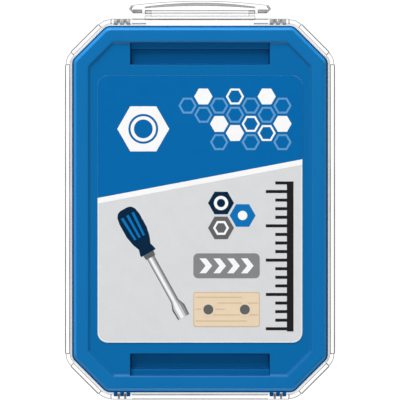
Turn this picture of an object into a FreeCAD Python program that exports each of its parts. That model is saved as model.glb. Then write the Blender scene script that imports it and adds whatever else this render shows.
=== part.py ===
"""Hinged plastic box of loose pan-head screws: clear tray, blue lid, label, clear latch and screws.

The box lies on its back. +Z points out of the lid's face and +Y points to the latch end.
Everything is modelled about the middle of the tray and moved once, at the end, so that the
origin is under the middle of the whole box. All sizes are in millimetres.
"""
import FreeCAD, Part
import math
import os
import random

V = FreeCAD.Vector

# Tray, seen from above
TRAY_WIDTH = 97.7
TRAY_LENGTH = 137.8
CORNER_CUT = 13.9          # leg of each 45 degree corner
CORNER_ROUND = 6.2         # radius that softens all eight corners
SMALLEST_ROUND = 1.2       # radius kept on outlines far inside the edge
ROUND_STEPS = 3            # flats that make up a rounded edge
PANEL_PROUD = 0.3          # flat rim panels stand out past the rounded corners
PANEL_RISE = 0.5           # and above them

# Tray, in section
WALL = 1.5
RAIL_HEIGHT = 2.2          # stacking rails lift the floor off the table
TRAY_DEPTH = 24.3          # from the floor's underside to the rim
RIM_DEPTH = 4.0            # from the rim down to the ledge that carries the lid
STEP_IN = 2.2              # the body is this much narrower than the rim, each side
DRAFT = 0.5                # and narrows this much more down to the floor
FLOOR_ROUND = 2.0          # size of the rounding round the floor

# Lid
LID_GAP = 1.05             # clear space between the rim's inside and the lid
LID_SEAT_GAP = 0.1         # the skirt's clearance over the ledge
LID_RISE = 5.0             # the border stands this far above the rim
LID_WALL = 1.5
SKIRT = 1.4
LID_ROUND = 1.0            # radius round the border's top edge
BORDER_WIDTH = 6.2
PANEL_DROP = 0.6           # the lower panel lies this far under the border

# Stacking recesses in the lid, and the rails under the tray that fit them
RECESS_LENGTH = 50.5
RECESS_WIDTH = 7.95
RECESS_SHELF = 2.5         # width of the shallow shelf along the outer side
SHELF_DROP = 1.2
RECESS_DROP = 2.4
RAIL_GAP = 0.3
RAIL_WALL = 1.4

# Hinge knuckles at one end, ribbed guide blocks of the same width at the other
KNUCKLE_INSET = 6.75       # from the end wall's corner to the middle of each knuckle or guide block
BARREL_R = 1.15
PIN_R = 0.6
PIN_GAP = 0.06             # running clearance round the pin
FINGER = 1.4               # width of each of a knuckle's or guide block's three fingers
HOOK = 0.8                 # width of each of the tray's two hooks
FINGER_GAP = 0.05
WEB_THICKNESS = 1.1
KNUCKLE_CLEAR = 0.35       # space round the barrel in the wall's notch
BARREL_SIDES = 8           # the small moulded barrels have flats
EYE_SIDES = 8              # and so have the hooks' eyes

# Latch
LATCH_SIDE_ROOM = 8.2      # from each side of the latch to the middle of the guide block beside it
LATCH_STANDOFF = 2.2       # from the rim to the plate's inner face
LATCH_PLATE = 1.0
PIVOT_STANDOFF = 2.0       # from the rim to the pivot's axis
PIVOT_HEIGHT = 12.0        # above the table
PIVOT_R = 0.7
LATCH_BARREL_R = 1.2
LUG = 2.0
LUG_R = 1.3
LUG_SIDE_GAP = 0.15
LUG_TOP_GAP = 0.6
NOSE_SHOULDER = 2.0        # the nose is this much narrower than the plate, each side
NOSE_THICKNESS = 1.2
NOSE_OVER_RIM = 0.4
NOSE_TIP_GAP = 0.3         # from the nose's tip to the lid's side
GROOVE_DEPTH = 0.5         # groove in the lid's side, opposite the nose
LIP_REACH = 6.7            # from the rim to the lip's outermost point
LIP_END_REACH = 5.1
LIP_OVERHANG = 4.8         # the bowed edge reaches this far past the plate's sides
LIP_TIP = 0.9              # the faceted ends reach this much further sideways
LIP_TIP_REACH = 3.7
EAR_INSET = 0.6
EAR_WIDTH = 3.3
EAR_DEPTH = 1.5
EAR_HEIGHT = 2.9
BOW_REACH = 5.8            # from the rim to the bowed grip's outermost point
BOW_END_REACH = 3.7
BOW_WALL = 1.0
BOW_HEIGHT = 8.5
RAIL_PROUD = 1.05          # rail across the rim behind the latch
RAIL_DOWN = 1.5            # from the rim down to the rail
RAIL_THICKNESS = 1.5

# Label
LABEL_SIDE_MARGIN = 3.1    # bare panel on each side of the label
LABEL_END_MARGIN = 3.95    # and between the label and each recess
LABEL_ROUND = 3.6
LABEL_THICKNESS = 0.15

# Screws
SCREW_COUNT = 100
SCREW_LENGTH = 25.4        # from under the head to the point
HEAD_R = 3.5
HEAD_HEIGHT = 2.4
HEAD_SIDES = 8
SHANK_R = 1.6              # mean radius of the threaded stem
SHANK_SIDES = 5
TIP_LENGTH = 4.0
SOCKET = 2.8               # across the flats of the square socket
SOCKET_DEPTH = 1.6
PILE_SEED = 7
PILE_TRIES = 60            # places tried for each screw
PILE_FINALISTS = 3         # the lowest of them, whose best tilts are then compared
PILE_CELL = 1.0            # grid of the pile's height map
PILE_SIDE_GAP = 0.2
USUAL_TILT = 8             # degrees, of a screw that lies flat on its head's rim
STEEPEST = 28

# Heights and places that follow from the sizes above
HALF_LENGTH = TRAY_LENGTH / 2
FLOOR_TOP = RAIL_HEIGHT + WALL
RIM_Z = RAIL_HEIGHT + TRAY_DEPTH
LEDGE_Z = RIM_Z - RIM_DEPTH
LID_INSET = WALL + LID_GAP
LID_TOP = RIM_Z + LID_RISE
SKIRT_BOTTOM = LEDGE_Z + LID_SEAT_GAP
PANEL_INSET = LID_INSET + BORDER_WIDTH
PANEL_TOP = LID_TOP - PANEL_DROP
RECESS_OUTER_Y = HALF_LENGTH - PANEL_INSET
BODY_INSET = STEP_IN + WALL
FINGER_PITCH = FINGER + HOOK + 2 * FINGER_GAP
KNUCKLE_WIDTH = 2 * FINGER_PITCH + FINGER
KNUCKLE_X = TRAY_WIDTH / 2 - CORNER_CUT - KNUCKLE_INSET
KNUCKLE_Y = HALF_LENGTH - BARREL_R
LATCH_HALF = KNUCKLE_X - LATCH_SIDE_ROOM
NOSE_BOTTOM = RIM_Z + NOSE_OVER_RIM
LATCH_TOP = NOSE_BOTTOM + NOSE_THICKNESS
PLATE_Y = HALF_LENGTH + LATCH_STANDOFF
PIVOT_Y = HALF_LENGTH + PIVOT_STANDOFF


def corners(inset, height, radius):
    """The rounded octagon's eight corners, each as its arc's start, middle and end."""
    x = TRAY_WIDTH / 2 - inset
    y = HALF_LENGTH - inset
    cut = CORNER_CUT - inset * (2 - math.sqrt(2))
    quarter = [(x, y - cut), (x - cut, y)]
    points = quarter + [(-a, b) for a, b in reversed(quarter)]
    points += [(-a, -b) for a, b in points]
    points = [V(a, b, height) for a, b in points]
    tangent = radius * math.tan(math.pi / 8)
    bulge = radius / math.cos(math.pi / 8) - radius
    result = []
    for i, corner in enumerate(points):
        before = (points[i - 1] - corner).normalize()
        after = (points[(i + 1) % 8] - corner).normalize()
        middle = corner + (before + after).normalize() * bulge
        result.append((corner + before * tangent, middle, corner + after * tangent))
    return result


def outline(inset, height):
    """Closed wire parallel to the tray's outside edge."""
    arcs = corners(inset, height, max(CORNER_ROUND - inset, SMALLEST_ROUND))
    edges = []
    for i, (start, middle, end) in enumerate(arcs):
        edges.append(Part.Arc(start, middle, end).toShape())
        edges.append(Part.makeLine(end, arcs[(i + 1) % 8][0]))
    return Part.Wire(edges)


def prism(inset, low, high):
    """Upright solid on one outline."""
    return Part.Face(outline(inset, low)).extrude(V(0, 0, high - low))


def drafted(inset_low, low, inset_high, high):
    """Solid that tapers from one outline to another."""
    return Part.makeLoft([outline(inset_low, low), outline(inset_high, high)], True, True)


def rounded_prism(inset, low, high, radius, end):
    """Upright solid whose top (end = 1) or bottom (end = -1) edge is rounded."""
    flat = high if end > 0 else low
    centre = flat - end * radius
    layers = []
    for i in range(ROUND_STEPS + 1):
        angle = math.pi / 2 * i / ROUND_STEPS
        layers.append((inset + radius * (1 - math.cos(angle)), centre + end * radius * math.sin(angle)))
    slices = [drafted(*layers[i], *layers[i + 1]) for i in range(ROUND_STEPS)]
    solid = slices[0].fuse(slices[1:])
    other = low if end > 0 else high
    return solid.fuse(prism(inset, *sorted([centre, other]))) if centre != other else solid


def block(x, y, z):
    """Box from three (low, high) pairs."""
    return Part.makeBox(x[1] - x[0], y[1] - y[0], z[1] - z[0], V(x[0], y[0], z[0]))


def cross_bar(radius, x, y, z):
    """Cylinder along X between a (low, high) pair."""
    return Part.makeCylinder(radius, x[1] - x[0], V(x[0], y, z), V(1, 0, 0))


def moulded_bar(radius, sides, x, y, z):
    """Many-sided bar along X, with this radius to its corners; an even count has one at each side."""
    turn = 2 * math.pi / sides
    ring = [V(x[0], y + radius * math.cos(i * turn), z + radius * math.sin(i * turn)) for i in range(sides)]
    return Part.Face(Part.makePolygon(ring + ring[:1])).extrude(V(x[1] - x[0], 0, 0))


def bore_for_pin(x, y, z):
    """Many-sided bore whose flats clear the round pin, with a flat towards each side."""
    radius = (PIN_R + PIN_GAP) / math.cos(math.pi / EYE_SIDES)
    bore = moulded_bar(radius, EYE_SIDES, x, y, z)
    bore.rotate(V(0, y, z), V(1, 0, 0), 180 / EYE_SIDES)
    return bore


def both_sides(shape):
    """A shape and its mirror image across the middle plane."""
    return [shape, shape.mirror(V(0, 0, 0), V(1, 0, 0))]


def swept_up(points, low, high):
    """Upright solid on a closed outline of edges."""
    return Part.Face(Part.Wire(points)).extrude(V(0, 0, high - low))


def at_end(shape, end):
    """Keep a shape at the latch end (+1) or turn it to the hinge end (-1)."""
    return shape if end > 0 else shape.mirror(V(0, 0, 0), V(0, 1, 0))


def rim_panels():
    """Eight flat panels, proud of the rounded corners between them."""
    panels = []
    outer = corners(0, LEDGE_Z - WALL, CORNER_ROUND)
    inner = corners(WALL, LEDGE_Z - WALL, CORNER_ROUND - WALL)
    for i in range(8):
        after = (i + 1) % 8
        ring = [outer[i][2], outer[after][0], inner[after][0], inner[i][2], outer[i][2]]
        panels.append(Part.Face(Part.makePolygon(ring)).extrude(V(0, 0, RIM_DEPTH + WALL)))
    return panels


def tray_body():
    """Drafted shell with a rounded floor and a wider rim on a ledge."""
    straight = RAIL_HEIGHT + FLOOR_ROUND
    foot = rounded_prism(STEP_IN + DRAFT, RAIL_HEIGHT, straight, FLOOR_ROUND, -1)
    body = drafted(STEP_IN + DRAFT, straight, STEP_IN, LEDGE_Z).fuse(foot)
    rim = prism(PANEL_PROUD, LEDGE_Z - WALL, RIM_Z - PANEL_RISE)
    body = body.fuse([rim] + rim_panels())
    body = body.cut(prism(WALL, LEDGE_Z, RIM_Z + 1))
    return body.cut(drafted(BODY_INSET + DRAFT, FLOOR_TOP, BODY_INSET, LEDGE_Z + WALL / 2))


def stacking_rail():
    """Hollow rail under the floor that drops into the deep part of a lid's recess."""
    half = RECESS_LENGTH / 2 - RAIL_GAP
    near = RECESS_OUTER_Y - RECESS_WIDTH + RAIL_GAP
    far = RECESS_OUTER_Y - RECESS_SHELF - RAIL_GAP
    rail = block((-half, half), (near, far), (0, RAIL_HEIGHT + WALL / 2))
    hollow = block((RAIL_WALL - half, half - RAIL_WALL), (near + RAIL_WALL, far - RAIL_WALL),
                   (0, RAIL_HEIGHT))
    return rail.cut(hollow)


def knuckle_notch():
    """Room in the rim for one knuckle or guide block."""
    half = KNUCKLE_WIDTH / 2 + KNUCKLE_CLEAR
    return block((KNUCKLE_X - half, KNUCKLE_X + half), (HALF_LENGTH - 2 * WALL, HALF_LENGTH + WALL),
                 (RIM_Z - BARREL_R - KNUCKLE_CLEAR, RIM_Z + 2 * WALL))


def finger_stem(x):
    """Upright foot that carries a hook or a finger in the rim's notch."""
    return block(x, (HALF_LENGTH - WALL, HALF_LENGTH), (RIM_Z - BARREL_R - WALL, RIM_Z))


def hinge_hooks():
    """Two hooks round the pin, each a closed eye."""
    hooks = []
    for place in (-0.5, 0.5):
        middle = KNUCKLE_X + place * FINGER_PITCH
        x = (middle - HOOK / 2, middle + HOOK / 2)
        hook = moulded_bar(BARREL_R, BARREL_SIDES, x, KNUCKLE_Y, RIM_Z).fuse(finger_stem(x))
        hooks.append(hook.cut(bore_for_pin(x, KNUCKLE_Y, RIM_Z)))
    return hooks


def guide_block():
    """Three fingers and the bar across them, which keep the closing lid in line."""
    half = KNUCKLE_WIDTH / 2
    pieces = [moulded_bar(PIN_R, EYE_SIDES, (KNUCKLE_X - half, KNUCKLE_X + half), KNUCKLE_Y, RIM_Z)]
    for place in (-1, 0, 1):
        middle = KNUCKLE_X + place * FINGER_PITCH
        x = (middle - FINGER / 2, middle + FINGER / 2)
        pieces += [moulded_bar(BARREL_R, BARREL_SIDES, x, KNUCKLE_Y, RIM_Z), finger_stem(x)]
    return pieces[0].fuse(pieces[1:])


def lug_x():
    """Low and high side of the latch's right lug."""
    outer = LATCH_HALF - LUG_SIDE_GAP
    return outer - LUG, outer


def latch_lug():
    """Lug on the end wall with a through bore for the latch's stub pin."""
    root = HALF_LENGTH - STEP_IN - DRAFT - WALL / 2
    arm = block(lug_x(), (root, PIVOT_Y), (PIVOT_HEIGHT - LUG_R, PIVOT_HEIGHT + LUG_R))
    lug = arm.fuse(cross_bar(LUG_R, lug_x(), PIVOT_Y, PIVOT_HEIGHT))
    return lug.cut(cross_bar(PIVOT_R + PIN_GAP, lug_x(), PIVOT_Y, PIVOT_HEIGHT))


def end_rail():
    """Rail across the rim behind the latch."""
    top = RIM_Z - RAIL_DOWN
    return block((-LATCH_HALF, LATCH_HALF),
                 (HALF_LENGTH - WALL / 2, HALF_LENGTH + RAIL_PROUD), (top - RAIL_THICKNESS, top))


def make_tray():
    tray = tray_body()
    for end in (1, -1):
        tray = tray.cut([at_end(notch, end) for notch in both_sides(knuckle_notch())])
    pieces = [end_rail()] + both_sides(latch_lug()) + both_sides(guide_block())
    for hook in hinge_hooks():
        pieces += [at_end(piece, -1) for piece in both_sides(hook)]
    for end in (1, -1):
        pieces.append(at_end(stacking_rail(), end))
    return tray.fuse(pieces).removeSplitter()


def recess_block(grow, shelf_z, floor_z, top):
    """The stepped recess as a solid, or its underside when grown by the lid's wall."""
    half = RECESS_LENGTH / 2 + grow
    outer = RECESS_OUTER_Y + grow
    near = RECESS_OUTER_Y - RECESS_WIDTH - grow
    shelf = block((-half, half), (near, outer), (shelf_z, top))
    deep = block((-half, half), (near, RECESS_OUTER_Y - RECESS_SHELF + grow), (floor_z, top))
    return shelf.fuse(deep)


def lid_shell():
    """Cap with a rounded border, a lower panel and two stepped recesses."""
    cap = rounded_prism(LID_INSET, SKIRT_BOTTOM, LID_TOP, LID_ROUND, 1)
    shelf_z = PANEL_TOP - SHELF_DROP
    floor_z = PANEL_TOP - RECESS_DROP
    hollow = prism(LID_INSET + SKIRT, SKIRT_BOTTOM - WALL, LID_TOP - LID_WALL)
    hollow = hollow.cut(prism(PANEL_INSET - LID_WALL, PANEL_TOP - LID_WALL, LID_TOP))
    for end in (1, -1):
        pod = recess_block(LID_WALL, shelf_z - LID_WALL, floor_z - LID_WALL, LID_TOP)
        hollow = hollow.cut(at_end(pod, end))
    cap = cap.cut(hollow).cut(prism(PANEL_INSET, PANEL_TOP, LID_TOP + 1))
    for end in (1, -1):
        cap = cap.cut(at_end(recess_block(0, shelf_z, floor_z, LID_TOP + 1), end))
    return cap


def lid_knuckle():
    """Three fingers on the lid's side with the pin across them."""
    half = KNUCKLE_WIDTH / 2
    side = HALF_LENGTH - LID_INSET - SKIRT / 2
    pieces = [cross_bar(PIN_R, (KNUCKLE_X - half, KNUCKLE_X + half), KNUCKLE_Y, RIM_Z)]
    for place in (-1, 0, 1):
        middle = KNUCKLE_X + place * FINGER_PITCH
        x = (middle - FINGER / 2, middle + FINGER / 2)
        web = block(x, (side, KNUCKLE_Y), (RIM_Z - WEB_THICKNESS / 2, RIM_Z + WEB_THICKNESS / 2))
        pieces += [moulded_bar(BARREL_R, BARREL_SIDES, x, KNUCKLE_Y, RIM_Z), web]
    return pieces[0].fuse(pieces[1:])


def nose_groove():
    """Groove in the lid's side, opposite the latch's nose."""
    half = LATCH_HALF - NOSE_SHOULDER + NOSE_TIP_GAP
    side = HALF_LENGTH - LID_INSET
    return block((-half, half), (side - GROOVE_DEPTH, side + WALL),
                 (NOSE_BOTTOM - NOSE_TIP_GAP, LATCH_TOP + NOSE_TIP_GAP))


def make_lid():
    knuckles = [at_end(piece, -1) for piece in both_sides(lid_knuckle())]
    return lid_shell().cut(nose_groove()).fuse(knuckles).removeSplitter()


def make_label():
    half_x = TRAY_WIDTH / 2 - PANEL_INSET - LABEL_SIDE_MARGIN
    half_y = RECESS_OUTER_Y - RECESS_WIDTH - LABEL_END_MARGIN
    sheet = block((-half_x, half_x), (-half_y, half_y), (PANEL_TOP, PANEL_TOP + LABEL_THICKNESS))
    upright = [e for e in sheet.Edges if e.BoundBox.ZLength > LABEL_THICKNESS / 2]
    return sheet.makeFillet(LABEL_ROUND, upright)


def bowed_band(reach, end_reach, thickness, low):
    """Closed edges of a band that bows outwards between the latch's sides."""
    half = LATCH_HALF
    outer_end = HALF_LENGTH + end_reach
    outer_top = HALF_LENGTH + reach
    points = [V(-half, outer_end, low), V(0, outer_top, low), V(half, outer_end, low)]
    back = [p - V(0, thickness, 0) for p in reversed(points)]
    return [Part.Arc(*points).toShape(), Part.makeLine(points[-1], back[0]),
            Part.Arc(*back).toShape(), Part.makeLine(back[-1], points[0])]


def thumb_lip():
    """Wide flange with a bowed outer edge, faceted ends and an ear under each end."""
    z = NOSE_BOTTOM
    inner_y = HALF_LENGTH + PIVOT_STANDOFF
    half = LATCH_HALF + LIP_OVERHANG
    right = [V(half, HALF_LENGTH + LIP_END_REACH, z), V(half + LIP_TIP, HALF_LENGTH + LIP_TIP_REACH, z),
             V(half - EAR_INSET, inner_y, z), V(half - EAR_INSET - EAR_WIDTH, inner_y, z),
             V(half - EAR_INSET - EAR_WIDTH, PLATE_Y, z)]
    left = [V(-p.x, p.y, p.z) for p in reversed(right)]
    bow = Part.Arc(left[-1], V(0, HALF_LENGTH + LIP_REACH, z), right[0]).toShape()
    sides = Part.makePolygon(right + left)
    flange = swept_up([bow] + sides.Edges, z, LATCH_TOP)
    ear = block((half - EAR_INSET - EAR_WIDTH, half - EAR_INSET), (inner_y, inner_y + EAR_DEPTH),
                (z - EAR_HEIGHT, z + NOSE_THICKNESS / 2))
    return [flange] + both_sides(ear)


def make_latch():
    half = LATCH_HALF
    nose_half = half - NOSE_SHOULDER
    plate_y = (PLATE_Y, PLATE_Y + LATCH_PLATE)
    shoulder = PIVOT_HEIGHT + LUG_R + LUG_TOP_GAP
    inside = lug_x()[0] - LUG_SIDE_GAP
    latch = cross_bar(LATCH_BARREL_R, (-inside, inside), PIVOT_Y, PIVOT_HEIGHT)
    stub = cross_bar(PIVOT_R, (inside - LUG, lug_x()[1]), PIVOT_Y, PIVOT_HEIGHT)
    neck = block((-inside, inside), plate_y, (PIVOT_HEIGHT, shoulder))
    plate = block((-half, half), plate_y, (shoulder, LATCH_TOP))
    nose_tip = HALF_LENGTH - LID_INSET + NOSE_TIP_GAP
    nose = block((-nose_half, nose_half), (nose_tip, PLATE_Y + LATCH_PLATE / 2), (NOSE_BOTTOM, LATCH_TOP))
    grip_low = NOSE_BOTTOM - BOW_HEIGHT
    grip = swept_up(bowed_band(BOW_REACH, BOW_END_REACH, BOW_WALL, grip_low), grip_low,
                    NOSE_BOTTOM + NOSE_THICKNESS / 2)
    pieces = both_sides(stub) + [neck, plate, nose, grip] + thumb_lip()
    return latch.fuse(pieces).removeSplitter()


def polygon_wire(sides, radius, height):
    """Regular polygon round the Z axis."""
    turn = 2 * math.pi / sides
    ring = [V(radius * math.cos(i * turn), radius * math.sin(i * turn), height) for i in range(sides)]
    return Part.makePolygon(ring + ring[:1])


def make_screw():
    """One screw, point down: many-sided head and stem, with a square socket in the head."""
    head = Part.Face(polygon_wire(HEAD_SIDES, HEAD_R, -HEAD_HEIGHT)).extrude(V(0, 0, HEAD_HEIGHT))
    stem_end = TIP_LENGTH - SCREW_LENGTH - HEAD_HEIGHT
    stem_wire = polygon_wire(SHANK_SIDES, SHANK_R, stem_end)
    stem = Part.Face(stem_wire).extrude(V(0, 0, -HEAD_HEIGHT - stem_end))
    point = Part.Vertex(0, 0, stem_end - TIP_LENGTH)
    tip = Part.makeLoft([stem_wire, point], True, True)
    socket = block((-SOCKET / 2, SOCKET / 2), (-SOCKET / 2, SOCKET / 2), (-SOCKET_DEPTH, 1))
    return head.fuse([stem, tip]).cut(socket).removeSplitter()


def screw_samples(tilt):
    """Points on a screw that points along +X, as (along, across, lowest, highest) heights.

    The screw is turned by tilt about its head's top, point down where tilt is positive.
    """
    samples = []
    step = PILE_CELL * 0.8
    whole = HEAD_HEIGHT + SCREW_LENGTH
    count = int(whole / step) + 1
    for i in range(count + 1):
        place = whole * i / count
        radius = HEAD_R if place <= HEAD_HEIGHT else SHANK_R
        if place > whole - TIP_LENGTH:
            radius = SHANK_R * (whole - place) / TIP_LENGTH
        reach = radius + PILE_SIDE_GAP
        steps = max(1, int(math.ceil(reach / step)))
        for j in range(-steps, steps + 1):
            across = reach * j / steps
            half = math.sqrt(max(radius ** 2 - across ** 2, 0.0))
            along = place * math.cos(tilt)
            height = -place * math.sin(tilt)
            samples.append((along, across, height - half, height + half))
    return samples


def inside_tray(x, y, margin):
    """True where a disc of this radius is within the tray's floor."""
    inset = BODY_INSET + DRAFT + margin
    limit_x = TRAY_WIDTH / 2 - inset
    limit_y = HALF_LENGTH - inset
    cut = CORNER_CUT - inset * (2 - math.sqrt(2))
    return abs(x) <= limit_x and abs(y) <= limit_y and abs(x) + abs(y) <= limit_x + limit_y - cut


class Pile:
    """Height map of the screws laid so far, on the tray's floor."""

    def __init__(self):
        self.ground = {}
        self.samples = {}

    def cells(self, x, y, yaw, tilt):
        """Each sample's map cell with its lowest and highest height."""
        if tilt not in self.samples:
            self.samples[tilt] = screw_samples(math.radians(tilt))
        cos_yaw, sin_yaw = math.cos(yaw), math.sin(yaw)
        for along, across, low, high in self.samples[tilt]:
            column = round((x + along * cos_yaw - across * sin_yaw) / PILE_CELL)
            row = round((y + along * sin_yaw + across * cos_yaw) / PILE_CELL)
            yield (column, row), low, high

    def rest_height(self, x, y, yaw, tilt):
        """Height of the head's centre when the screw has come down on what lies below."""
        ground = self.ground
        return max(ground.get(cell, FLOOR_TOP) - low for cell, low, _ in self.cells(x, y, yaw, tilt))

    def settle(self, x, y, yaw):
        """The tilt that brings the screw's middle lowest, and its resting height."""
        lever = (HEAD_HEIGHT + SCREW_LENGTH) * 0.4
        coarse, fine = 6, 1

        def middle(tilt):
            return self.rest_height(x, y, yaw, tilt) - lever * math.sin(math.radians(tilt))

        best = min(range(-STEEPEST, STEEPEST + 1, coarse), key=middle)
        best = min(range(best - coarse + 1, best + coarse, fine), key=middle)
        return middle(best), best, self.rest_height(x, y, yaw, best), (x, y, yaw)

    def add(self, x, y, yaw, tilt, height):
        """Raise the map where this screw lies."""
        for cell, _, high in self.cells(x, y, yaw, tilt):
            self.ground[cell] = max(self.ground.get(cell, FLOOR_TOP), height + high)


def random_place(rng):
    """A head's place and a heading that keep the whole screw over the floor."""
    while True:
        x = rng.uniform(-TRAY_WIDTH, TRAY_WIDTH) / 2
        y = rng.uniform(-TRAY_LENGTH, TRAY_LENGTH) / 2
        yaw = rng.uniform(0, 2 * math.pi)
        reach = HEAD_HEIGHT + SCREW_LENGTH
        tip = (x + reach * math.cos(yaw), y + reach * math.sin(yaw))
        if inside_tray(x, y, HEAD_R + PILE_CELL) and inside_tray(tip[0], tip[1], SHANK_R):
            return x, y, yaw


def make_screws():
    """Loose screws dropped one by one, each to where it finds support."""
    rng = random.Random(PILE_SEED)
    screw = make_screw()
    pile = Pile()
    screws = []
    for _ in range(SCREW_COUNT):
        places = [random_place(rng) for _ in range(PILE_TRIES)]
        places.sort(key=lambda place: pile.rest_height(*place, USUAL_TILT))
        _, tilt, height, (x, y, yaw) = min(pile.settle(*place) for place in places[:PILE_FINALISTS])
        pile.add(x, y, yaw, tilt, height)
        roll = FreeCAD.Rotation(V(0, 0, 1), rng.uniform(0, 360))
        lay = FreeCAD.Rotation(V(0, 1, 0), tilt - 90)
        turn = FreeCAD.Rotation(V(0, 0, 1), math.degrees(yaw))
        copy = screw.copy()
        copy.Placement = FreeCAD.Placement(V(x, y, height), turn.multiply(lay).multiply(roll))
        screws.append(copy)
    return Part.makeCompound(screws)


def main():
    os.makedirs("parts", exist_ok=True)
    nodes = {
        "tray": make_tray(),
        "lid": make_lid(),
        "label": make_label(),
        "latch": make_latch(),
        "screws": make_screws(),
    }
    for name, shape in nodes.items():
        shape.translate(V(0, -LIP_REACH / 2, 0))
        shape.exportStep(os.path.join("parts", name + ".step"))


main()
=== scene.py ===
"""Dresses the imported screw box: clear tray and latch, blue lid, printed label and loose screws.

Sizes are in millimetres until metres() turns them into Blender's units. The print on the label is
a plain design of its own: common tools and hardware on two fields of colour.
"""
import math

import bmesh
import bpy
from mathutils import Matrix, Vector


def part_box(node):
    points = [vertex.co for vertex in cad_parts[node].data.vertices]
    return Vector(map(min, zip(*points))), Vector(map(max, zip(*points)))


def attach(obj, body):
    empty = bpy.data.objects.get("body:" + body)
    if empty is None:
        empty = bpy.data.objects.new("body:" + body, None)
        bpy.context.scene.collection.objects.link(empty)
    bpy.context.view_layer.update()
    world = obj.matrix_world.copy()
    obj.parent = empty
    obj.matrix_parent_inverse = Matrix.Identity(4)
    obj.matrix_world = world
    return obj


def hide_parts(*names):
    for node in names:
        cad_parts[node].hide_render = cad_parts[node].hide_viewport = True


MM = 0.001

# The box's outline and heights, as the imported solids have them, about the tray's middle
TRAY_HALF_X = 48.85
TRAY_HALF_Y = 68.9
CORNER_CUT = 13.9
CORNER_ROUND = 6.2
SMALLEST_ROUND = 1.2
RIM_Z = 26.5
LID_TOP = 31.5

# Slots of the clear mouldings' materials, in the order of CLEAR_MATERIALS; the edge slot's dark grey is
# painted shade
FACE, EDGE, SEAT, THICK, RIB = range(5)

# The lowest rounding of the wall above the ledge that carries the lid
LEDGE_CORNER_Z = 22.62

# The tray's section from the floor's middle out and back under it: distance in from the outside and
# height on the flats, the same on the corners, and the material of the strip that ends there
TRAY_SECTION = (
    (4.9, 3.7, 4.9, 3.7, FACE), (4.4, 3.85, 4.4, 3.85, FACE), (4.2, 4.3, 4.2, 4.3, FACE),
    (3.72, 22.3, 3.72, 22.3, FACE), (3.55, 22.5, 3.55, 22.5, EDGE), (1.88, 22.5, 1.88, 22.5, SEAT),
    (1.76, LEDGE_CORNER_Z, 1.76, LEDGE_CORNER_Z, EDGE), (1.76, 26.3, 1.9, 25.8, FACE),
    (1.54, 26.5, 1.76, 26.0, EDGE), (0.4, 26.5, 0.5, 26.0, FACE), (0.0, 26.14, 0.3, 25.8, EDGE),
    (0.0, 21.2, 0.3, 21.2, FACE), (0.15, 21.0, 0.45, 21.0, EDGE), (2.1, 21.0, 2.1, 21.0, FACE),
    (2.22, 20.85, 2.22, 20.85, EDGE), (2.68, 4.4, 2.68, 4.4, FACE), (2.95, 3.35, 2.95, 3.35, FACE),
    (3.6, 2.6, 3.6, 2.6, FACE), (4.7, 2.2, 4.7, 2.2, FACE))
JOG = 0.36
RIM_GAP_HALF = 19.6

# The ledge's seat is grey along the sides only, and edges on the rim's inside are clear behind the nose
SEAT_FROM_X = 44.0
LATCH_END_Y = 62.0
RIM_INSIDE = 1.2

# The stacking rails underneath
RAIL_HALF_X = 24.95
RAIL_NEAR_Y = 52.5
RAIL_FAR_Y = 57.35
RAIL_HOLLOW = 1.4

# The latch, its pivot and the lugs that hold it
LATCH_HALF = 20.0
NOSE_HALF = 18.0
NOSE_CLEARANCE = 0.3
LIP_HALF = 24.8
LIP_LOW = 26.9
LIP_TOP = 28.1
PLATE_Y0 = 70.7
PLATE_Y1 = 72.0
PLATE_FOOT = 13.9
PIVOT_Y = 70.9
PIVOT_Z = 12.0
PIVOT_R = 1.2
PIVOT_HALF = 17.7
STUB_R = 0.7
LUG_X0 = 17.85
LUG_X1 = 19.85
LUG_R = 1.3
LUG_BORE_R = 0.76

# The lid's section as (distance in from the tray's outside, height), from under the panel round to its top
LID_SECTION = ((7.25, 29.4), (7.25, 29.9), (7.15, 30.0), (4.15, 30.0), (3.95, 29.8), (3.95, 22.75),
               (3.8, 22.6), (2.7, 22.6), (2.55, 22.75), (2.55, 26.4), (3.05, 30.0), (3.25, 30.45),
               (3.42, 30.72), (3.95, 31.25), (4.15, 31.42), (4.45, 31.5), (8.0, 31.5), (8.25, 31.46),
               (8.5, 31.34), (9.0, 31.02), (9.25, 30.93), (9.55, 30.9))
PANEL_Z = 30.9
PANEL_HALF_X = 41.8
PANEL_HALF_Y = 61.9
PANEL_CORNER_SUM = 95.2
RECESS_HALF = 25.25
RECESS_TOP = 31.0
RECESS_DRAFT = 0.2
POD_WALL = 1.5
RECESS_SECTION = ((60.5, 33.0), (59.95, 29.7), (57.85, 29.7), (57.45, 28.5), (52.55, 28.5), (51.9, 33.0))
POD_SECTION = ((61.65, 30.4), (61.65, 28.2), (59.15, 28.2), (59.15, 27.0), (50.7, 27.0), (50.7, 30.4))
NOSE_GROOVE = ((65.85, 26.6), (65.85, 28.4), (67.5, 28.4), (67.5, 26.6))

# The hinge's hooks and fingers, and the guide blocks at the latch end
KNUCKLE_X = 28.2
KNUCKLE_Y = 67.75
NOTCH_HALF = 3.65
NOTCH_Y0 = 66.2
NOTCH_Y1 = 70.4
STEM_Y0 = 67.3
STEM_Y1 = 68.85
STEM_FOOT = 24.0
HOOK_HALF = 0.4
FINGER_HALF = 0.7
FINGER_PITCH = 2.3
BARREL_R = 1.15
PIN_R = 0.6
WEB_HALF = 0.55
WEB_ROOT_Y = -65.7

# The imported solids' screws: how near to each other their vertices are one, and their heads' sides
WELD = 0.002
SOLID_HEAD_SIDES = 8

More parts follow.
